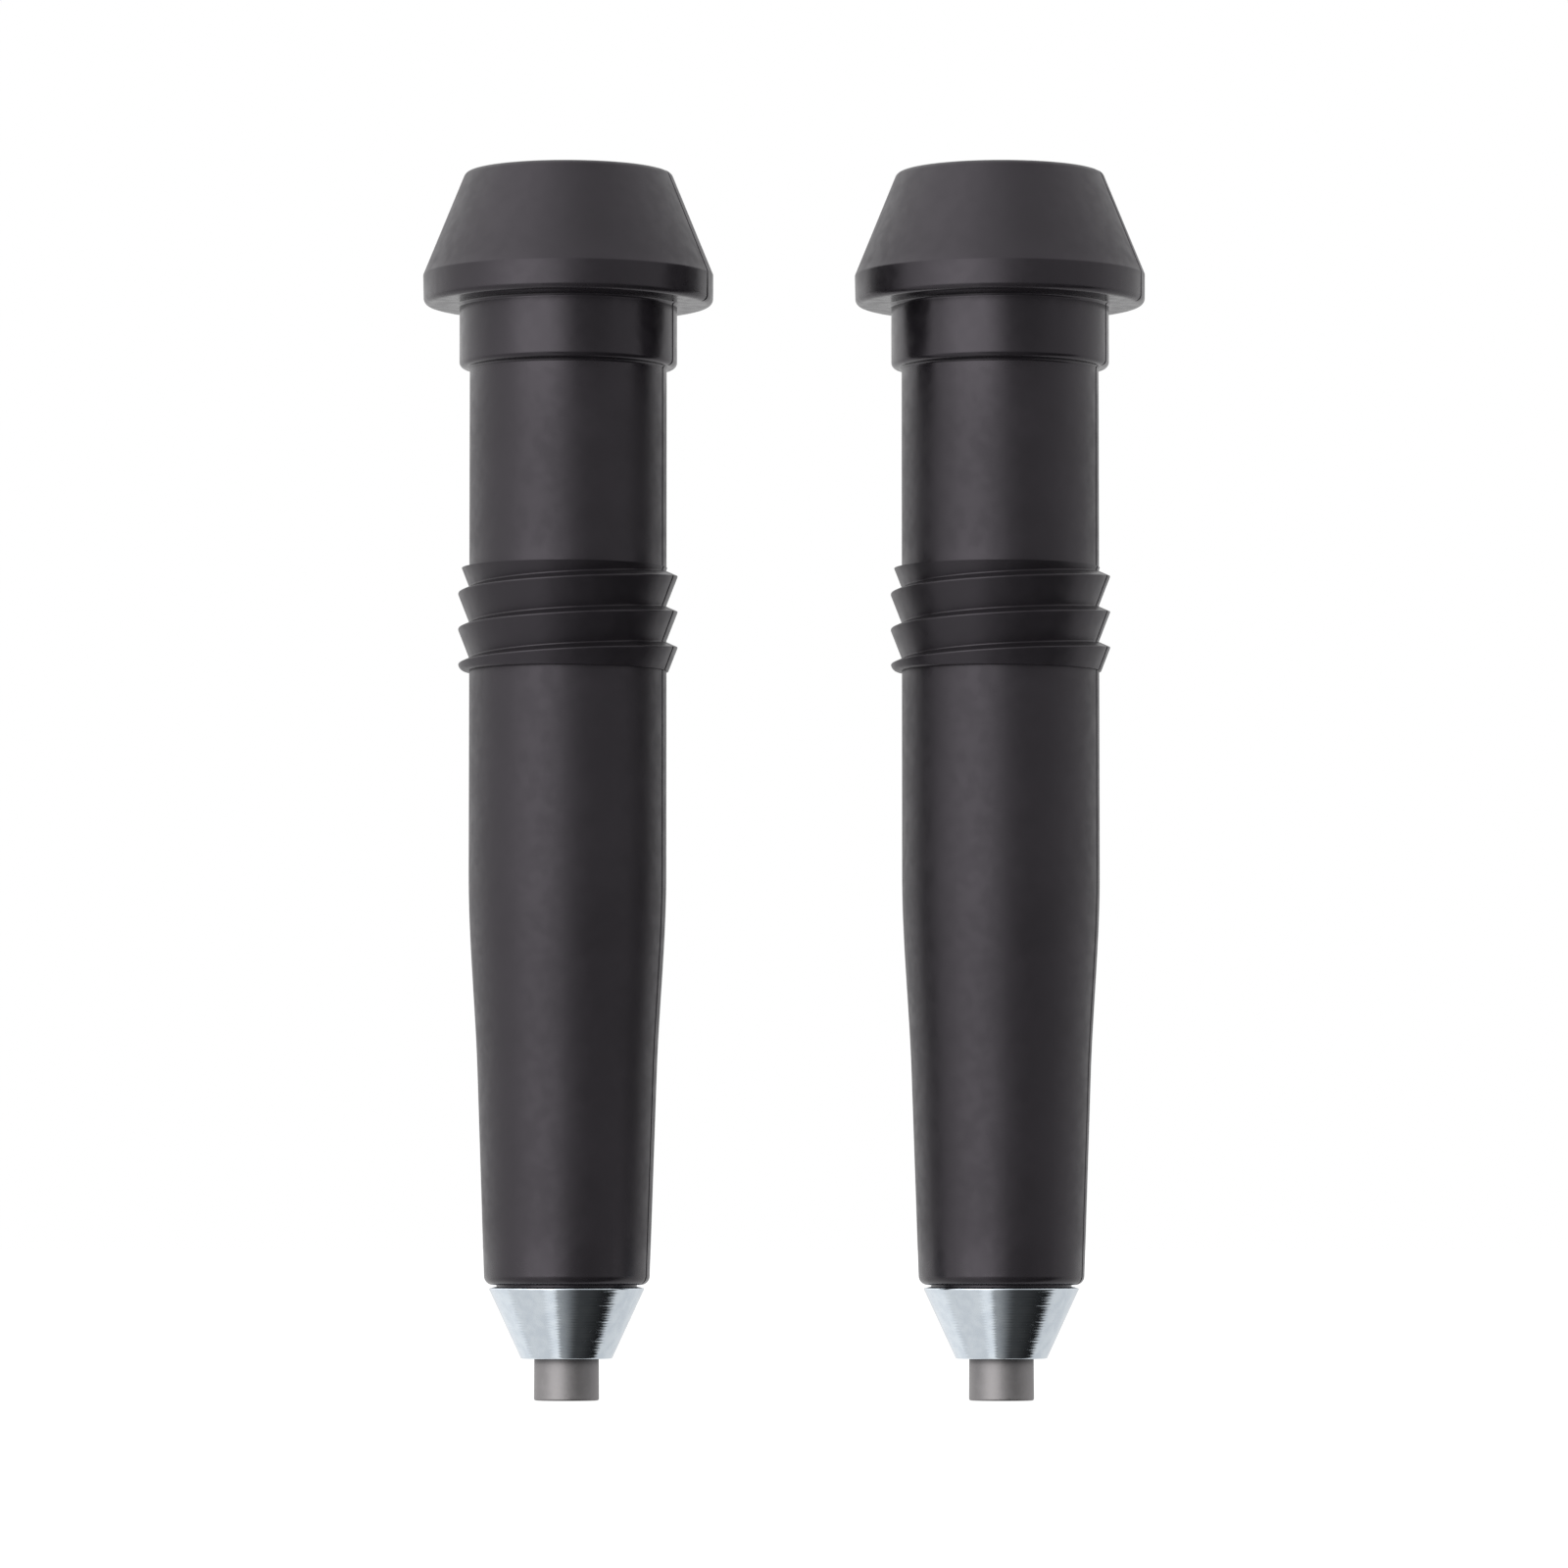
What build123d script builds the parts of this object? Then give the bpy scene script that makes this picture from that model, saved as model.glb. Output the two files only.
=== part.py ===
"""A pair of trekking pole tips, standing side by side on their points.

Each tip is three pieces: a moulded sleeve that pushes onto the pole's lower shaft and carries a screw thread
for a basket, a steel ferrule whose barbed shank the sleeve is moulded round, and a hard-metal point pressed
into the ferrule. +Z runs up out of the shaft bores and +X from the left tip to the right tip. The origin is
midway between the tips, level with the ends of their points. All sizes are in millimetres.
"""

import os

from build123d import *

# The pair
pair_spacing = 33.4  # between the axes of the two tips

# Shaft bore, which the pole's lower shaft pushes into
bore_d = 12.0
bore_depth = 50.0  # from the top of the head, mouth chamfer included
mouth_chamfer = 0.5

# Narrower core under the bore, which keeps the moulding's walls even
core_top_d = 8.4
core_bottom_d = 7.0
core_floor = 4.0  # plastic left between the core and the ferrule's shank

# Sleeve, radial sizes
tube_wall = 1.6  # round the bore
collar_step = 0.8  # how far the collar stands out of the tube
rim_reach = 3.62  # how far the head's rim stands out of the tube
mouth_wall = 1.95  # between the bore and the edge of the head's top face
waist_d = 13.76  # where the gentle lower taper turns into the steeper flare
end_d = 12.66  # lower end
seat_d = 10.8  # low step on the lower end, which rests on the ferrule's shoulder

# Sleeve, heights
head_cone_height = 8.0
rim_height = 2.3
collar_height = 4.9
upper_tube_length = 15.5
thread_length = 8.0
lower_tube_length = 15.7
flare_length = 15.3
lower_taper_length = 16.25

# Sleeve, rounded edges
head_edge_radius = 0.5
rim_upper_radius = 0.3
rim_lower_radius = 0.5
collar_edge_radius = 0.45
inner_corner_radius = 0.25
end_edge_radius = 0.7

# Basket thread: single start, right-handed, with a long lower flank and a short upper one
thread_pitch = 2.75
thread_height = 0.85
crest_land = 0.1
upper_flank = 0.38
root_land = 0.13  # bare tube between one turn and the next
root_step = 0.05  # square foot of the ridge, where it leaves the tube
root_sink = 0.3  # how deep the ridge is rooted in the tube's wall
first_crest = 1.8  # height of the first whole crest on the +X side, above the thread's lower end

# Ferrule
ferrule_inset = 0.33  # step from the sleeve's lower end to the ferrule's shoulder
nose_wall = 1.0  # round the point, at the ferrule's nose
nose_edge_radius = 0.15
ferrule_cone_height = 5.4
shoulder_bevel_width = 0.5
shoulder_bevel_height = 0.12
shoulder_edge_radius = 0.1
seat_height = 0.13  # leaves a thin open line between the ferrule's shoulder and the sleeve's edge
shank_d = 6.4
shank_length = 14.0
barb_count = 3
barb_height = 0.5
barb_length = 2.9
barb_pitch = 3.6
shank_chamfer = 0.5

# Point
point_d = 5.0
point_exposed = 3.2
point_seated = 4.8
point_edge = 0.15
point_top_chamfer = 0.3
dish_rim = 0.55  # width of the flat rim round the dished end
dish_depth = 0.6

# Radii that follow from these
bore_r = bore_d / 2
tube_r = bore_r + tube_wall
collar_r = tube_r + collar_step
rim_r = tube_r + rim_reach
head_top_r = bore_r + mouth_wall
waist_r = waist_d / 2
end_r = end_d / 2
seat_r = seat_d / 2
crest_r = tube_r + thread_height
lower_flank = thread_pitch - root_land - upper_flank - crest_land
ferrule_r = end_r - ferrule_inset
point_r = point_d / 2
nose_r = point_r + nose_wall
shank_r = shank_d / 2

# Heights that follow from these, from the ends of the points upwards
nose_z = point_exposed
shoulder_z = nose_z + ferrule_cone_height + shoulder_bevel_height
sleeve_z = shoulder_z + seat_height
waist_z = sleeve_z + lower_taper_length
straight_z = waist_z + flare_length
thread_bottom_z = straight_z + lower_tube_length
thread_top_z = thread_bottom_z + thread_length
collar_z = thread_top_z + upper_tube_length
rim_z = collar_z + collar_height
rim_top_z = rim_z + rim_height
top_z = rim_top_z + head_cone_height
bore_bottom_z = top_z - bore_depth
shank_top_z = sleeve_z + shank_length
core_bottom_z = shank_top_z + core_floor
point_top_z = point_exposed + point_seated


def section_plane(axis_x):
    """Upright plane through a tip's axis: its x is the radius and its y the height."""
    return Plane(origin=(axis_x, 0, 0), x_dir=(1, 0, 0), z_dir=(0, -1, 0))


def tip_axis(axis_x):
    return Axis((axis_x, 0, 0), (0, 0, 1))


def shank_points():
    """Shank outline from the shoulder up: each barb steps out flat and tapers back to the shank."""
    first_barb_z = sleeve_z + (shank_length - barb_count * barb_pitch) / 2
    points = [(0, shoulder_z), (shank_r, shoulder_z)]
    for barb in range(barb_count):
        barb_z = first_barb_z + barb * barb_pitch
        points.append((shank_r, barb_z))
        points.append((shank_r + barb_height, barb_z))
        points.append((shank_r, barb_z + barb_length))
    points.append((shank_r, shank_top_z - shank_chamfer))
    points.append((shank_r - shank_chamfer, shank_top_z))
    points.append((0, shank_top_z))
    return points


def make_thread(axis_x):
    """Basket thread as a helical ridge, rooted in the tube's wall.

    The ridge is swept for spare turns past both ends of the thread, which are then cut flat.
    """
    start_z = thread_bottom_z + first_crest - 2 * thread_pitch
    sweep_height = thread_length + 3 * thread_pitch
    sunk_r = tube_r - root_sink
    foot_r = tube_r + root_step
    lower_z = start_z - lower_flank
    upper_z = start_z + crest_land + upper_flank
    with BuildPart() as thread:
        with BuildLine() as crest_path:
            Helix(
                pitch=thread_pitch,
                height=sweep_height,
                radius=crest_r,
                center=(axis_x, 0, start_z),
            )
        with BuildSketch(section_plane(axis_x)):
            with BuildLine():
                Polyline(
                    (sunk_r, lower_z),
                    (foot_r, lower_z),
                    (crest_r, start_z),
                    (crest_r, start_z + crest_land),
                    (foot_r, upper_z),
                    (sunk_r, upper_z),
                    close=True,
                )
            make_face()
        sweep(path=crest_path.wire(), is_frenet=True)
        with BuildSketch(Plane.XY.offset(thread_bottom_z)):
            with Locations((axis_x, 0)):
                Circle(crest_r + thread_height)
        extrude(amount=thread_length, mode=Mode.INTERSECT)
    return thread.part


def make_tip_body(axis_x, thread):
    """Moulded sleeve, with its bore, its core and the cavity that its ferrule's shank fills."""
    plane = section_plane(axis_x)
    axis = tip_axis(axis_x)
    with BuildPart() as tip_body:
        with BuildSketch(plane):
            with BuildLine():
                Polyline((0, shoulder_z), (seat_r, shoulder_z), (seat_r, sleeve_z))
                FilletPolyline(
                    (seat_r, sleeve_z),
                    (end_r, sleeve_z),
                    (waist_r, waist_z),
                    radius=[end_edge_radius],
                )
                Spline(
                    (waist_r, waist_z),
                    (tube_r, straight_z),
                    tangents=((waist_r - end_r, waist_z - sleeve_z), (0, 1)),
                )
                FilletPolyline(
                    (tube_r, straight_z),
                    (tube_r, collar_z),
                    (collar_r, collar_z),
                    (collar_r, rim_z),
                    (rim_r, rim_z),
                    (rim_r, rim_top_z),
                    (head_top_r, top_z),
                    (0, top_z),
                    radius=[
                        inner_corner_radius,
                        collar_edge_radius,
                        inner_corner_radius,
                        rim_lower_radius,
                        rim_upper_radius,
                        head_edge_radius,
                    ],
                )
                Line((0, top_z), (0, shoulder_z))
            make_face()
        revolve(axis=axis)
        add(thread)
        with BuildSketch(plane):
            with BuildLine():
                Polyline(
                    (0, core_bottom_z),
                    (core_bottom_d / 2, core_bottom_z),
                    (core_top_d / 2, bore_bottom_z),
                    (bore_r, bore_bottom_z),
                    (bore_r, top_z - mouth_chamfer),
                    (bore_r + mouth_chamfer, top_z),
                    (0, top_z),
                    close=True,
                )
            make_face()
        revolve(axis=axis, mode=Mode.SUBTRACT)
        with BuildSketch(plane):
            with BuildLine():
                Polyline(*shank_points(), close=True)
            make_face()
        revolve(axis=axis, mode=Mode.SUBTRACT)
    return tip_body.part


def make_ferrule(axis_x):
    """Steel ferrule: a cone with a bevelled shoulder, its barbed shank, and the point's socket."""
    plane = section_plane(axis_x)
    with BuildPart() as ferrule:
        with BuildSketch(plane):
            with BuildLine():
                FilletPolyline(
                    (0, nose_z),
                    (nose_r, nose_z),
                    (ferrule_r, nose_z + ferrule_cone_height),
                    (ferrule_r - shoulder_bevel_width, shoulder_z),
                    (0, shoulder_z),
                    radius=[nose_edge_radius, shoulder_edge_radius, 0],
                )
                Line((0, shoulder_z), (0, nose_z))
            make_face()
            with BuildLine():
                Polyline(*shank_points(), close=True)
            make_face()
            with BuildLine():
                Polyline(
                    (0, nose_z),
                    (point_r, nose_z),
                    (point_r, point_top_z - point_top_chamfer),
                    (point_r - point_top_chamfer, point_top_z),
                    (0, point_top_z),
                    close=True,
                )
            make_face(mode=Mode.SUBTRACT)
        revolve(axis=tip_axis(axis_x))
    return ferrule.part


def make_point(axis_x):
    """Hard-metal pin with a dished end, so that its rim bites on rock and ice."""
    with BuildPart() as point:
        with BuildSketch(section_plane(axis_x)):
            with BuildLine():
                TangentArc((0, dish_depth), (point_r - dish_rim, 0), tangent=(1, 0))
                Polyline(
                    (point_r - dish_rim, 0),
                    (point_r - point_edge, 0),
                    (point_r, point_edge),
                    (point_r, point_top_z - point_top_chamfer),
                    (point_r - point_top_chamfer, point_top_z),
                    (0, point_top_z),
                    (0, dish_depth),
                )
            make_face()
        revolve(axis=tip_axis(axis_x))
    return point.part


os.makedirs("parts", exist_ok=True)
for side, axis_x in (("left", -pair_spacing / 2), ("right", pair_spacing / 2)):
    pieces = {
        "tip_body": make_tip_body(axis_x, make_thread(axis_x)),
        "ferrule": make_ferrule(axis_x),
        "carbide_point": make_point(axis_x),
    }
    for name, piece in pieces.items():
        piece.label = f"{side}_{name}"
        export_step(piece, f"parts/{piece.label}.step")
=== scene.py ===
"""A pair of trekking pole tips, standing on their points in a plain white studio.

Each tip has three pieces: the moulded sleeve with its basket thread, the zinc-plated ferrule and the hard-metal
point. Every piece is one closed grid of rows and columns: a half outline, carried once round the tip's axis.
Outline sizes are in millimetres, from the tip's axis outwards and from the end of the point upwards.
"""

import math

import bmesh
import bpy
import numpy as np
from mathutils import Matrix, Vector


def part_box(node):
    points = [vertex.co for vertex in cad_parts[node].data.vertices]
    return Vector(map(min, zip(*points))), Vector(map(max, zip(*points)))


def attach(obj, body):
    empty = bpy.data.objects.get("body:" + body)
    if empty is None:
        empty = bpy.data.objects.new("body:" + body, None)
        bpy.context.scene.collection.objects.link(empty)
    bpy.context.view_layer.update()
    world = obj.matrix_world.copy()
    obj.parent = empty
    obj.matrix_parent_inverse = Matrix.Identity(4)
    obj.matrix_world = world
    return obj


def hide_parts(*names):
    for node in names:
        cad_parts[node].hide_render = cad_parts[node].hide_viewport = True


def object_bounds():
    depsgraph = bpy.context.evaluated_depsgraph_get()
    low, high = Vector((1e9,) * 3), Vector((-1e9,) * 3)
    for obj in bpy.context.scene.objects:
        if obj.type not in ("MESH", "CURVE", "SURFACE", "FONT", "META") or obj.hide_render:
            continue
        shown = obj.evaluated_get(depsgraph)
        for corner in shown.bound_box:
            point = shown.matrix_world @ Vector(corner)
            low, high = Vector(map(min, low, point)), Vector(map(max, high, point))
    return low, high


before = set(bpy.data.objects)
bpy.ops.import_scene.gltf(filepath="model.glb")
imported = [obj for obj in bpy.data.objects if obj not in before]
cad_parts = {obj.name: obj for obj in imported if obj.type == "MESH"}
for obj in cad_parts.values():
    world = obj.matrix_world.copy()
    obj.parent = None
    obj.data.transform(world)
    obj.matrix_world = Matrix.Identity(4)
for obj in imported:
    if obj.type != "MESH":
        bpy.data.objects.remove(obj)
cad_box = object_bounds()

MM = 0.001

# Sleeve, from the lower end up
SLEEVE_Z = 8.85
WAIST_Z = 25.1
STRAIGHT_Z = 40.4
THREAD_BOTTOM_Z = 56.1
THREAD_TOP_Z = 64.1
COLLAR_Z = 79.6
RIM_Z = 84.5
RIM_TOP_Z = 86.8
TOP_Z = 94.8
SEAT_R = 5.4
END_R = 6.33
WAIST_R = 6.88
TUBE_R = 7.6
COLLAR_R = 8.4
RIM_R = 11.22
RIM_DRAFT = 0.05
HEAD_TOP_R = 7.95
BORE_R = 6.0
BORE_BOTTOM_Z = 44.8
MOUTH_CHAMFER = 0.5
CORE_TOP_R = 4.2
CORE_BOTTOM_R = 3.5
CORE_BOTTOM_Z = 26.85

# Basket thread
THREAD_PITCH = 2.75
THREAD_HEIGHT = 0.85
LOWER_FLANK = 2.18
CREST_LAND = 0.1
UPPER_FLANK = 0.38
FIRST_CREST_Z = 57.9
LOWER_CUT_ROUND = 0.6
UPPER_CUT_ROUND = 0.1

# Line where the two halves of the mould met
PARTING_ANGLE = -15.4
GROOVE_HALF_WIDTH = 0.7
GROOVE_DEPTH = 0.09
HALF_SHIFT = 0.03

# Ferrule and point
SHANK_R = 3.2
SHANK_TOP_Z = 22.85
SHOULDER_Z = 8.72
FERRULE_R = 6.0
NOSE_R = 3.5
NOSE_Z = 3.2
CONE_TOP_Z = 8.6
RING_PITCH = 0.21
RING_DEPTH = 0.006
POINT_R = 2.5
POINT_TOP_Z = 8.0
DISH_R = 1.95
DISH_DEPTH = 0.6


# ---------------------------------------------------------------- outlines and grids


def rounded_outline(corners, radii, step=1.0):
    """Half outline through the corners, each inner corner rounded by its radius.

    An arc touches both sides of its corner at radius / tan(half the corner's angle) from it. Straight runs get a
    point 0.04 mm from each end, so that shading stays flat up to the arc, and one every step between them.
    """
    corners = np.asarray(corners, float)
    runs = []
    start = corners[0]
    for before, corner, after, radius in zip(corners, corners[1:], corners[2:], radii):
        back = (before - corner) / np.linalg.norm(before - corner)
        ahead = (after - corner) / np.linalg.norm(after - corner)
        half = math.acos(np.clip(back @ ahead, -1, 1)) / 2
        if radius <= 0:
            runs.append(straight_run(start, corner, step))
            start = corner
            continue
        reach = radius / math.tan(half)
        arc_start = corner + back * reach
        arc_end = corner + ahead * reach
        centre = corner + (back + ahead) / np.linalg.norm(back + ahead) * radius / math.sin(half)
        sweep = math.pi - 2 * half
        t = np.linspace(0, 1, max(4, math.ceil(sweep / math.radians(11))))[:, None]
        arc = np.sin((1 - t) * sweep) * (arc_start - centre) + np.sin(t * sweep) * (arc_end - centre)
        runs.append(straight_run(start, arc_start, step))
        runs.append(centre + arc / math.sin(sweep))
        start = arc_end
    runs.append(straight_run(start, corners[-1], step))
    runs.append(corners[-1:])
    outline = np.concatenate(runs)
    far = np.linalg.norm(np.diff(outline, axis=0), axis=1) > 1e-6
    return outline[np.concatenate(([True], far))]


def straight_run(start, end, step):
    """Points from start up to, but not including, end: one 0.04 mm in from each end and one every step."""
    length = np.linalg.norm(end - start)
    if length < 1e-9:
        return np.empty((0, 2))
    inner = np.linspace(0, 1, max(1, math.ceil(length / step)) + 1)[1:-1]
    close = min(0.04 / length, 0.2)
    t = np.unique(np.concatenate(([0, close], inner[(inner > close) & (inner < 1 - close)], [1 - close])))
    return start + (end - start) * t[:, None]


def column_angles(count, crowded=()):
    """Angles of the columns, once round, with narrow columns beside each of the crowded angles."""
    even = np.linspace(0, 2 * math.pi, count + 1)
    if not len(crowded):
        return even
    beside = np.radians([-2.4, -1.4, -0.9, -0.7, -0.45, -0.2, 0, 0.2, 0.45, 0.7, 0.9, 1.4, 2.4])
    narrow = (np.asarray(crowded)[:, None] + beside).ravel() % (2 * math.pi)
    apart = np.abs((even[:, None] - np.asarray(crowded) + math.pi) % (2 * math.pi) - math.pi)
    kept = even[(apart > math.radians(3.2)).all(axis=1)]
    return np.sort(np.concatenate((kept, narrow)))


def carried_round(radius, height, angle, axis_x):
    """Grid of points, rows by columns: (axis + radius cos angle, radius sin angle, height), in metres."""
    radius, height, angle = np.broadcast_arrays(radius, height, angle)
    x = axis_x / MM + radius * np.cos(angle)
    y = radius * np.sin(angle)
    return np.stack((x, y, height), axis=-1) * MM


def grid_object(name, points, material):
    """Closed smooth piece from a grid of points, whose last column lies on its first.

    Each cell becomes a face. Points that fall together, at the poles and on the seam, become one, and all faces
    are turned outwards.
    """
    rows, columns, _ = points.shape
    index = np.arange(rows * columns).reshape(rows, columns)
    cells = np.stack((index[:-1, :-1], index[:-1, 1:], index[1:, 1:], index[1:, :-1]), axis=-1)
    mesh = bpy.data.meshes.new(name)
    mesh.from_pydata(points.reshape(-1, 3), [], cells.reshape(-1, 4))
    shell = bmesh.new()
    shell.from_mesh(mesh)
    bmesh.ops.remove_doubles(shell, verts=shell.verts, dist=2e-7)
    bmesh.ops.recalc_face_normals(shell, faces=shell.faces)
    shell.to_mesh(mesh)
    shell.free()
    mesh.polygons.foreach_set("use_smooth", np.ones(len(mesh.polygons), bool))
    mesh.set_sharp_from_angle(angle=math.radians(42))
    mesh.materials.append(material)
    piece = bpy.data.objects.new(name, mesh)
    bpy.context.scene.collection.objects.link(piece)
    return piece


# ---------------------------------------------------------------- shapes


def shank_outline():
    """Barbed shank, from the shoulder's plane up to its top: each barb steps out flat and tapers back."""
    points = [(SHANK_R, SHOULDER_Z)]
    for barb in range(3):
        barb_z = 10.45 + 3.6 * barb
        points.append((SHANK_R, barb_z))
        points.append((SHANK_R + 0.5, barb_z))
        points.append((SHANK_R, barb_z + 2.9))
    points.append((SHANK_R, SHANK_TOP_Z - 0.5))
    points.append((SHANK_R - 0.5, SHANK_TOP_Z))
    points.append((0, SHANK_TOP_Z))
    return np.array(points, float)


def flare_outline():
    """Flare between the lower taper and the straight tube.

    The radius is a cubic of the height: it leaves the taper with the taper's slope and meets the tube upright.
    """
    t = np.linspace(0, 1, 25)[1:-1]
    length = STRAIGHT_Z - WAIST_Z
    slope = (WAIST_R - END_R) / (WAIST_Z - SLEEVE_Z)
    rise = t * t * (3 - 2 * t)
    lead = t * (1 - t) ** 2 * length * slope
    radius = WAIST_R + (TUBE_R - WAIST_R) * rise + lead
    return np.stack((radius, WAIST_Z + length * t), axis=-1)


def thread_turn():
    """One turn's section, as heights along the axis from its crest and how far it stands out of the tube."""
    corners = [
        (-LOWER_FLANK - 0.02, 0),
        (-LOWER_FLANK, 0),
        (0, THREAD_HEIGHT),
        (CREST_LAND, THREAD_HEIGHT),
        (CREST_LAND + UPPER_FLANK, 0),
        (THREAD_PITCH - LOWER_FLANK - 0.02, 0),
    ]
    return rounded_outline(corners, [0.03, 0.08, 0.06, 0.01], step=0.7).T


def thread_grid(angle):
    """Radius and height of the thread's rows, which follow the helix: one column for each angle.

    A crest is THREAD_PITCH higher after each turn. Rows that would pass a cut plane stop on it. Near a cut the
    ridge is held under a quarter ellipse, which rounds the cut edge.
    """
    along, out = thread_turn()
    crest = FIRST_CREST_Z + THREAD_PITCH * angle / (2 * math.pi)
    turns = THREAD_PITCH * np.arange(-2, 4)
    helix = (turns[:, None] + along).reshape(-1, 1) + crest
    lower_rows = THREAD_BOTTOM_Z + LOWER_CUT_ROUND * (1 - np.cos(np.linspace(0, math.pi / 2, 10)))
    upper_rows = THREAD_TOP_Z - UPPER_CUT_ROUND * (1 - np.cos(np.linspace(0, math.pi / 2, 6)))
    cuts = np.concatenate((lower_rows, upper_rows))[:, None] + 0 * angle
    height = np.sort(np.clip(np.concatenate((helix, cuts)), THREAD_BOTTOM_Z, THREAD_TOP_Z), axis=0)
    place = (height - crest + LOWER_FLANK + 0.02) % THREAD_PITCH - LOWER_FLANK - 0.02
    ridge = np.interp(place, along, out, period=None)
    for distance, round_height, round_depth in (
        (height - THREAD_BOTTOM_Z, LOWER_CUT_ROUND, 0.6),
        (THREAD_TOP_Z - height, UPPER_CUT_ROUND, 0.1),
    ):
        rest = np.clip(1 - distance / round_height, 0, 1)
        ridge = np.minimum(ridge, THREAD_HEIGHT - round_depth * (1 - np.sqrt(1 - rest * rest)))
    return TUBE_R + ridge, height


def sleeve_points(axis_x):
    """Sleeve: shank cavity, lower end, taper, flare, tube, thread, collar, head, bore and core in one grid.

    The outer rows dip into a fine groove along the parting line, depth x (1 - offset / half width), and the rear
    half of the mould stands HALF_SHIFT to one side.
    """
    parting = math.radians(PARTING_ANGLE)
    angle = column_angles(252, (parting, parting + math.pi))
    cavity = shank_outline()[::-1]
    lower_end = rounded_outline(
        [
            (SHANK_R, SHOULDER_Z),
            (SEAT_R, SHOULDER_Z),
            (SEAT_R, SLEEVE_Z),
            (END_R, SLEEVE_Z),
            (WAIST_R, WAIST_Z),
        ],
        [0, 0, 0.7],
        step=1.2,
    )
    straight = rounded_outline([(TUBE_R, STRAIGHT_Z), (TUBE_R, THREAD_BOTTOM_Z)], [], step=1.2)
    head = rounded_outline(
        [
            (TUBE_R, THREAD_TOP_Z),
            (TUBE_R, COLLAR_Z),
            (COLLAR_R, COLLAR_Z),
            (COLLAR_R, RIM_Z),
            (RIM_R - RIM_DRAFT, RIM_Z),
            (RIM_R, RIM_TOP_Z),
            (HEAD_TOP_R, TOP_Z),
            (BORE_R + MOUTH_CHAMFER, TOP_Z),
            (BORE_R, TOP_Z - MOUTH_CHAMFER),
            (BORE_R, BORE_BOTTOM_Z),
            (CORE_TOP_R, BORE_BOTTOM_Z),
            (CORE_BOTTOM_R, CORE_BOTTOM_Z),
            (0, CORE_BOTTOM_Z),
        ],
        [0.25, 0.45, 0.25, 0.5, 0.3, 0.5, 0.08, 0.08, 0, 0, 0],
        step=1.2,
    )
    below = np.concatenate((cavity, lower_end[1:], flare_outline(), straight))
    thread_r, thread_z = thread_grid(angle)
    shape = thread_r.shape[1]
    radius = np.concatenate((np.repeat(below[:, :1], shape, 1), thread_r, np.repeat(head[:, :1], shape, 1)))
    height = np.concatenate((np.repeat(below[:, 1:], shape, 1), thread_z, np.repeat(head[:, 1:], shape, 1)))
    row = np.arange(len(radius))
    top_row = len(below) + len(thread_r) + np.argmax(head[:, 1] > TOP_Z - 1e-6)
    outer = ((radius[:, 0] > SEAT_R + 0.1) & (row >= len(cavity)) & (row < top_row))[:, None]
    turned = (angle - parting + math.pi / 2) % math.pi - math.pi / 2
    groove = GROOVE_DEPTH * np.clip(1 - np.abs(turned) / math.radians(GROOVE_HALF_WIDTH), 0, 1)
    rear = np.sin(angle - parting) > 0
    shift = np.where(rear, HALF_SHIFT * np.cos(angle - parting), 0)
    radius = radius + outer * (shift - groove)
    radius = np.minimum(radius, RIM_R)
    return carried_round(radius, height, angle, axis_x)


def ferrule_points(axis_x):
    """Ferrule: socket, nose, turned cone, shoulder and barbed shank.

    The tool's rings cross the cone: each dips by RING_DEPTH x (1 - cosine of the height), and the dips come and
    go in depth along the cone.
    """
    cone = rounded_outline(
        [
            (0, POINT_TOP_Z),
            (POINT_R - 0.3, POINT_TOP_Z),
            (POINT_R, POINT_TOP_Z - 0.3),
            (POINT_R, NOSE_Z + 0.12),
            (POINT_R + 0.12, NOSE_Z),
            (NOSE_R, NOSE_Z),
            (FERRULE_R, CONE_TOP_Z),
            (FERRULE_R - 0.5, SHOULDER_Z),
            (SHANK_R, SHOULDER_Z),
        ],
        [0, 0, 0, 0, 0.15, 0.1, 0.1],
        step=0.05,
    )
    shank = shank_outline()[1:]
    outline = np.concatenate((cone, shank))
    radius, height = outline.T
    turned = np.clip((height - NOSE_Z - 0.1) * 5, 0, 1) * np.clip((CONE_TOP_Z - 0.1 - height) * 5, 0, 1)
    turned = turned * (radius > NOSE_R - 0.1)
    uneven = 0.6 + 0.4 * np.sin(height * 2.9) * np.sin(height * 7.1 + 1)
    rings = RING_DEPTH * uneven * (1 - np.cos(height * 2 * math.pi / RING_PITCH))
    radius = radius - turned * rings
    return carried_round(radius[:, None], height[:, None], column_angles(160), axis_x)


def point_points(axis_x):
    """Point: a pin whose lower end is dished, the dish's height falling with the square of the radius."""
    r = np.linspace(0, 1, 14)
    dish = np.stack((DISH_R * r, DISH_DEPTH * (1 - r * r)), axis=-1)
    pin = rounded_outline(
        [
            (DISH_R, 0),
            (POINT_R, 0),
            (POINT_R - 0.02, NOSE_Z),
            (POINT_R, POINT_TOP_Z - 0.3),
            (POINT_R - 0.3, POINT_TOP_Z),
            (0, POINT_TOP_Z),
        ],
        [0.15, 0, 0, 0],
        step=0.25,
    )
    radius, height = np.concatenate((dish, pin[1:])).T
    return carried_round(radius[:, None], height[:, None], column_angles(128), axis_x)


# ---------------------------------------------------------------- shader helpers


def add_node(tree, kind, **values):
    """New node of that kind. A value whose name is a socket's goes to the socket, and others to the node."""
    made = tree.nodes.new(kind)
    for name, value in values.items():
        if hasattr(made, name):
            setattr(made, name, value)
        else:
            made.inputs[name.replace("_", " ")].default_value = value
    return made


def wire(tree, source, target):
    tree.links.new(source, target)


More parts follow.
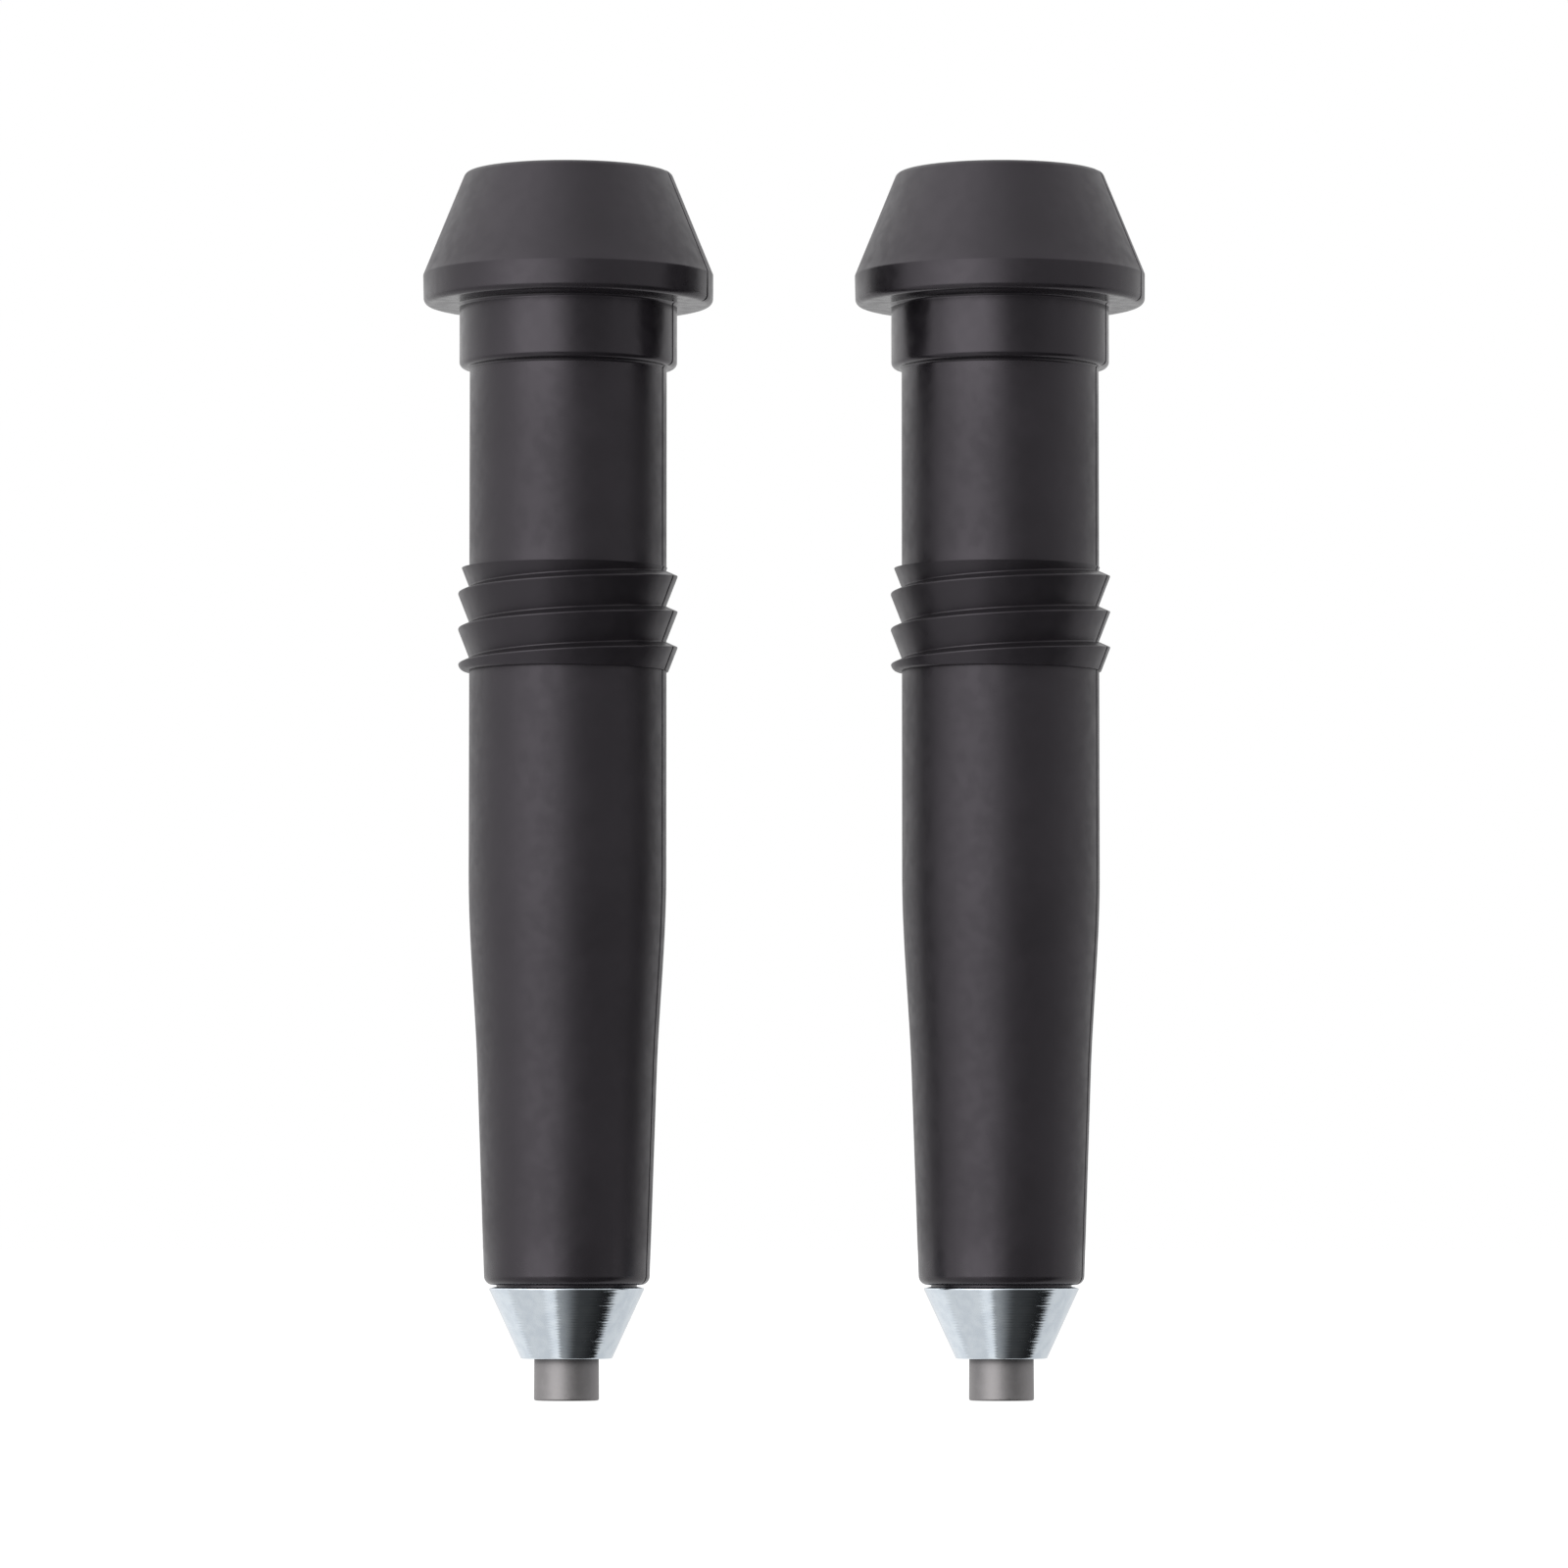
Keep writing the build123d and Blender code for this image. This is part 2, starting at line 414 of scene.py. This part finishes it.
def calculate(tree, operation, first, second=0.0):
    """Math node on two values, each a socket or a number."""
    made = add_node(tree, "ShaderNodeMath", operation=operation)
    for socket, value in zip(made.inputs, (first, second)):
        if isinstance(value, bpy.types.NodeSocket):
            wire(tree, value, socket)
        else:
            socket.default_value = value
    return made.outputs[0]


def new_group(name, inputs, outputs):
    group = bpy.data.node_groups.new(name, "ShaderNodeTree")
    for label, kind, value in inputs:
        socket = group.interface.new_socket(label, in_out="INPUT", socket_type=kind)
        if value is not None:
            socket.default_value = value
    for label, kind in outputs:
        group.interface.new_socket(label, in_out="OUTPUT", socket_type=kind)
    return group, group.nodes.new("NodeGroupInput"), group.nodes.new("NodeGroupOutput")


def make_fine_grain():
    """Fine grain of a given size in millimetres: a height for bump, and a tone that goes with it."""
    group, given, result = new_group(
        "fine_grain",
        [
            ("Position", "NodeSocketVector", None),
            ("Size", "NodeSocketFloat", 0.1),
            ("Contrast", "NodeSocketFloat", 1.0),
        ],
        [("Height", "NodeSocketFloat"), ("Tone", "NodeSocketFloat")],
    )
    scale = calculate(group, "DIVIDE", 1.0, given.outputs["Size"])
    noise = add_node(group, "ShaderNodeTexNoise", Detail=3.0, Roughness=0.6)
    wire(group, given.outputs["Position"], noise.inputs["Vector"])
    wire(group, scale, noise.inputs["Scale"])
    centred = calculate(group, "SUBTRACT", noise.outputs[0], 0.5)
    strong = calculate(group, "MULTIPLY", centred, given.outputs["Contrast"])
    wire(group, calculate(group, "ADD", strong, 0.5), result.inputs["Height"])
    wire(group, calculate(group, "ADD", strong, 1.0), result.inputs["Tone"])
    return group


def make_soft_clouds():
    """Slow, cloudy variation between two values, over a given size in millimetres."""
    group, given, result = new_group(
        "soft_clouds",
        [
            ("Position", "NodeSocketVector", None),
            ("Size", "NodeSocketFloat", 2.0),
            ("Low", "NodeSocketFloat", 0.0),
            ("High", "NodeSocketFloat", 1.0),
        ],
        [("Value", "NodeSocketFloat")],
    )
    scale = calculate(group, "DIVIDE", 1.0, given.outputs["Size"])
    noise = add_node(group, "ShaderNodeTexNoise", Detail=2.0, Roughness=0.5)
    wire(group, given.outputs["Position"], noise.inputs["Vector"])
    wire(group, scale, noise.inputs["Scale"])
    spread = add_node(group, "ShaderNodeMapRange", interpolation_type="SMOOTHSTEP")
    spread.inputs["From Min"].default_value = 0.32
    spread.inputs["From Max"].default_value = 0.68
    wire(group, noise.outputs[0], spread.inputs["Value"])
    wire(group, given.outputs["Low"], spread.inputs["To Min"])
    wire(group, given.outputs["High"], spread.inputs["To Max"])
    wire(group, spread.outputs[0], result.inputs["Value"])
    return group


def use_group(tree, group, position, **values):
    made = add_node(tree, "ShaderNodeGroup", node_tree=group)
    wire(tree, position, made.inputs["Position"])
    for name, value in values.items():
        made.inputs[name].default_value = value
    return made


def new_finish(name, axis_x):
    """Material with its shader and a position in millimetres from the tip's axis and its point's end."""
    material = bpy.data.materials.new(name)
    material.use_nodes = True
    tree = material.node_tree
    tree.nodes.clear()
    shader = add_node(tree, "ShaderNodeBsdfPrincipled")
    output = add_node(tree, "ShaderNodeOutputMaterial")
    wire(tree, shader.outputs[0], output.inputs["Surface"])
    coordinates = add_node(tree, "ShaderNodeTexCoord")
    position = add_node(tree, "ShaderNodeMapping")
    position.inputs["Location"].default_value = (-axis_x / MM, 0, 0)
    position.inputs["Scale"].default_value = (1 / MM, 1 / MM, 1 / MM)
    wire(tree, coordinates.outputs["Object"], position.inputs["Vector"])
    return material, tree, shader, position.outputs[0]


def by_height(tree, position, stops):
    """Value that follows the height in millimetres through (height, value) stops."""
    split = add_node(tree, "ShaderNodeSeparateXYZ")
    wire(tree, position, split.inputs[0])
    ramp = add_node(tree, "ShaderNodeValToRGB")
    ramp.color_ramp.interpolation = "LINEAR"
    fill_ramp(ramp.color_ramp, [(z / 100, value) for z, value in stops])
    wire(tree, calculate(tree, "DIVIDE", split.outputs["Z"], 100.0), ramp.inputs[0])
    return ramp.outputs[0]


def fill_ramp(ramp, stops):
    while len(ramp.elements) < len(stops):
        ramp.elements.new(1.0)
    for element, (place, value) in zip(ramp.elements, stops):
        element.position = place
        element.color = (value, value, value, 1) if np.isscalar(value) else (*value, 1)


def mix_colours(tree, factor, first, second):
    mix = add_node(tree, "ShaderNodeMix", data_type="RGBA")
    wire(tree, factor, mix.inputs[0])
    mix.inputs[6].default_value = (*first, 1)
    mix.inputs[7].default_value = (*second, 1)
    return mix.outputs[2]


def bump_chain(tree, shader, layers):
    """Bump nodes, one for each (height socket, depth in millimetres), the last feeding the shader's normal."""
    before = None
    for height, depth in layers:
        bump = add_node(tree, "ShaderNodeBump", Strength=1.0, Distance=depth * MM)
        wire(tree, height, bump.inputs["Height"])
        if before is not None:
            wire(tree, before, bump.inputs["Normal"])
        before = bump.outputs[0]
    wire(tree, before, shader.inputs["Normal"])


# ---------------------------------------------------------------- finishes


def satin_black_plastic(name, axis_x, grain, clouds):
    """Charcoal-black moulded plastic: a satin grain, slow ripples, and a gloss that changes from zone to zone."""
    material, tree, shader, position = new_finish(name, axis_x)
    fine = use_group(tree, grain, position, Size=0.11, Contrast=1.0)
    ripples = use_group(tree, clouds, position, Size=3.2, Low=0.0, High=1.0)
    mottle = use_group(tree, clouds, position, Size=1.1, Low=-0.035, High=0.035)
    tint = use_group(tree, clouds, position, Size=6.0, Low=0.0, High=1.0)
    zone = by_height(
        tree,
        position,
        [(8.8, 0.27), (10.6, 0.3), (13, 0.42), (55, 0.43), (57, 0.36), (64, 0.36), (66, 0.43), (75, 0.42),
         (78.5, 0.32), (79.8, 0.23), (84.3, 0.24), (85, 0.3), (86.6, 0.32), (87.5, 0.43), (94, 0.42)],
    )
    wire(tree, calculate(tree, "ADD", zone, mottle.outputs[0]), shader.inputs["Roughness"])
    wire(tree, mix_colours(tree, tint.outputs[0], (0.0062, 0.0055, 0.0066), (0.0085, 0.0075, 0.009)),
         shader.inputs["Base Color"])
    shader.inputs["Specular IOR Level"].default_value = 0.54
    shader.inputs["Specular Tint"].default_value = (0.98, 0.9, 1.0, 1)
    bump_chain(tree, shader, [(ripples.outputs[0], 0.012), (fine.outputs["Height"], 0.0025)])
    return material


def bright_zinc(name, axis_x, grain, clouds):
    """Bright bluish zinc plating over turned steel, faintly cloudy, with streaks that run round the cone."""
    material, tree, shader, position = new_finish(name, axis_x)
    stretch = add_node(tree, "ShaderNodeMapping")
    stretch.inputs["Scale"].default_value = (0.3, 0.3, 6.5)
    wire(tree, position, stretch.inputs["Vector"])
    streaks = use_group(tree, grain, stretch.outputs[0], Size=1.0, Contrast=1.0)
    fine = use_group(tree, grain, position, Size=0.06, Contrast=1.0)
    cloudy = use_group(tree, clouds, position, Size=0.9, Low=0.0, High=1.0)
    wire(tree, mix_colours(tree, cloudy.outputs[0], (0.72, 0.79, 0.86), (0.8, 0.87, 0.93)),
         shader.inputs["Base Color"])
    rough = calculate(tree, "MULTIPLY", streaks.outputs["Height"], 0.22)
    wire(tree, rough, shader.inputs["Roughness"])
    shader.inputs["Metallic"].default_value = 1.0
    bump_chain(tree, shader, [(streaks.outputs["Height"], 0.02), (fine.outputs["Height"], 0.0008)])
    return material


def sintered_hard_metal(name, axis_x, grain, clouds):
    """Matte grey sintered carbide: powdery grain, ground round its edge, and darker where it enters the ferrule,
    a painted shade from the ferrule.
    """
    material, tree, shader, position = new_finish(name, axis_x)
    fine = use_group(tree, grain, position, Size=0.07, Contrast=1.0)
    cloudy = use_group(tree, clouds, position, Size=0.8, Low=0.94, High=1.06)
    # Painted shade: the base grey falls from 0.29 to 0.08 over the last 0.6 mm below the ferrule's nose, standing
    # in for the shadow the ferrule casts on the point.
    tone = by_height(tree, position, [(0, 0.29), (2.6, 0.29), (2.95, 0.24), (3.2, 0.08)])
    grey_with_painted_shade = calculate(tree, "MULTIPLY", tone, cloudy.outputs[0])
    tinted = add_node(tree, "ShaderNodeCombineColor")
    wire(tree, grey_with_painted_shade, tinted.inputs[0])
    wire(tree, calculate(tree, "MULTIPLY", grey_with_painted_shade, 0.96), tinted.inputs[1])
    wire(tree, calculate(tree, "MULTIPLY", grey_with_painted_shade, 0.97), tinted.inputs[2])
    wire(tree, tinted.outputs[0], shader.inputs["Base Color"])
    wire(tree, calculate(tree, "MULTIPLY", cloudy.outputs[0], 0.5), shader.inputs["Roughness"])
    shader.inputs["Metallic"].default_value = 1.0
    bump_chain(tree, shader, [(fine.outputs["Height"], 0.002)])
    return material


# ---------------------------------------------------------------- studio


def white_floor():
    """Wide white floor just under the points."""
    size = 6.0
    level = cad_box[0].z - 0.00005
    mesh = bpy.data.meshes.new("studio_floor")
    corners = [(-size, -size, level), (size, -size, level), (size, size, level), (-size, size, level)]
    mesh.from_pydata(corners, [], [(0, 1, 2, 3)])
    material = bpy.data.materials.new("white_paper")
    material.use_nodes = True
    tree = material.node_tree
    shader = tree.nodes["Principled BSDF"]
    shader.inputs["Base Color"].default_value = (0.12, 0.12, 0.12, 1)
    shader.inputs["Roughness"].default_value = 1.0
    shader.inputs["Specular IOR Level"].default_value = 0.0
    shader.inputs["Emission Color"].default_value = (1, 1, 1, 1)
    shader.inputs["Emission Strength"].default_value = 1.0
    mesh.materials.append(material)
    floor = bpy.data.objects.new("studio_floor", mesh)
    floor.visible_glossy = False
    bpy.context.scene.collection.objects.link(floor)


def round_the_horizon(tree, azimuth, stops):
    """Brightness that follows the azimuth through (degrees, brightness) stops; 0 is towards the viewer."""
    ramp = add_node(tree, "ShaderNodeValToRGB")
    ramp.color_ramp.interpolation = "EASE"
    top = 4.0
    fill_ramp(ramp.color_ramp, [((a + 180) / 360, value / top) for a, value in stops])
    wire(tree, azimuth, ramp.inputs[0])
    return calculate(tree, "MULTIPLY", ramp.outputs[0], top)


def studio_light():
    """White studio seen by the camera; the tips are lit by soft panels round them.

    The panels are three rings, above, level and below. Each is a brightness by azimuth, and the elevation blends
    one ring into the next.
    """
    world = bpy.data.worlds.new("studio")
    bpy.context.scene.world = world
    world.use_nodes = True
    tree = world.node_tree
    tree.nodes.clear()
    direction = add_node(tree, "ShaderNodeTexCoord")
    split = add_node(tree, "ShaderNodeSeparateXYZ")
    wire(tree, direction.outputs["Generated"], split.inputs[0])
    towards = calculate(tree, "MULTIPLY", split.outputs["Y"], -1.0)
    angle = calculate(tree, "ARCTAN2", split.outputs["X"], towards)
    azimuth = calculate(tree, "ADD", calculate(tree, "DIVIDE", angle, 2 * math.pi), 0.5)
    level = round_the_horizon(
        tree,
        azimuth,
        [(-180, 0.95), (-128, 1.4), (-90, 1.25), (-70, 1.6), (-45, 3.1), (-22, 3.2), (14, 0.5), (30, 0.42),
         (60, 0.65), (95, 0.95), (130, 1.0), (180, 0.95)],
    )
    above = round_the_horizon(
        tree,
        azimuth,
        [(-180, 1.6), (-130, 2.0), (-80, 2.3), (-45, 2.3), (-10, 1.5), (30, 0.9), (60, 1.2), (100, 1.5),
         (140, 1.7), (180, 1.6)],
    )
    below = round_the_horizon(
        tree,
        azimuth,
        [(-180, 1.1), (-112, 1.1), (-106, 0.88), (-44, 0.88), (-38, 1.1), (-24, 1.1), (-16, 0.4), (28, 0.06),
         (88, 0.015), (96, 0.85), (180, 0.95)],
    )
    rise = add_node(tree, "ShaderNodeMapRange", interpolation_type="SMOOTHSTEP")
    rise.inputs["From Min"].default_value = 0.15
    rise.inputs["From Max"].default_value = 0.7
    wire(tree, split.outputs["Z"], rise.inputs["Value"])
    fall = add_node(tree, "ShaderNodeMapRange", interpolation_type="SMOOTHSTEP")
    fall.inputs["From Min"].default_value = -0.1
    fall.inputs["From Max"].default_value = -0.3
    wire(tree, split.outputs["Z"], fall.inputs["Value"])
    upper = blend_values(tree, rise.outputs[0], level, above)
    whole = blend_values(tree, fall.outputs[0], upper, below)
    lit = add_node(tree, "ShaderNodeBackground")
    wire(tree, whole, lit.inputs["Strength"])
    seen = add_node(tree, "ShaderNodeBackground")
    seen.inputs["Strength"].default_value = 1.0
    seen.inputs["Color"].default_value = (1, 1, 1, 1)
    path = add_node(tree, "ShaderNodeLightPath")
    choose = add_node(tree, "ShaderNodeMixShader")
    wire(tree, path.outputs["Is Camera Ray"], choose.inputs[0])
    wire(tree, lit.outputs[0], choose.inputs[1])
    wire(tree, seen.outputs[0], choose.inputs[2])
    output = add_node(tree, "ShaderNodeOutputWorld")
    wire(tree, choose.outputs[0], output.inputs["Surface"])


def blend_values(tree, factor, first, second):
    mix = add_node(tree, "ShaderNodeMix", data_type="FLOAT")
    wire(tree, factor, mix.inputs[0])
    wire(tree, first, mix.inputs[2])
    wire(tree, second, mix.inputs[3])
    return mix.outputs[0]


def long_lens_camera():
    """Long lens, level with the ferrules and tilted up a little, so that the heads show a trace of underside."""
    data = bpy.data.cameras.new("camera")
    data.sensor_width = 36.0
    data.lens = 179.8
    camera = bpy.data.objects.new("camera", data)
    camera.location = (0, -0.603, 0.0127)
    camera.rotation_euler = (math.radians(90 + 3.2943), 0, 0)
    bpy.context.scene.collection.objects.link(camera)
    bpy.context.scene.camera = camera


# ---------------------------------------------------------------- the pair


def make_tip(side, grain, clouds):
    """One tip's three pieces, each in place of its CAD node and riding on the tip's body."""
    low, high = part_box(f"{side}_tip_body")
    axis_x = (low.x + high.x) / 2
    body = f"{side}_tip"

    sleeve_finish = satin_black_plastic(f"{side}_satin_black_plastic", axis_x, grain, clouds)
    sleeve = grid_object(f"{side}_sleeve", sleeve_points(axis_x), sleeve_finish)
    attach(sleeve, body)
    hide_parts(f"{side}_tip_body")

    ferrule_finish = bright_zinc(f"{side}_bright_zinc", axis_x, grain, clouds)
    ferrule = grid_object(f"{side}_turned_ferrule", ferrule_points(axis_x), ferrule_finish)
    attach(ferrule, body)
    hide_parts(f"{side}_ferrule")

    point_finish = sintered_hard_metal(f"{side}_sintered_hard_metal", axis_x, grain, clouds)
    point = grid_object(f"{side}_dished_point", point_points(axis_x), point_finish)
    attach(point, body)
    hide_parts(f"{side}_carbide_point")


long_lens_camera()
fine_grain = make_fine_grain()
soft_clouds = make_soft_clouds()
make_tip("left", fine_grain, soft_clouds)
make_tip("right", fine_grain, soft_clouds)
white_floor()
studio_light()
bpy.context.scene.view_settings.view_transform = "Standard"
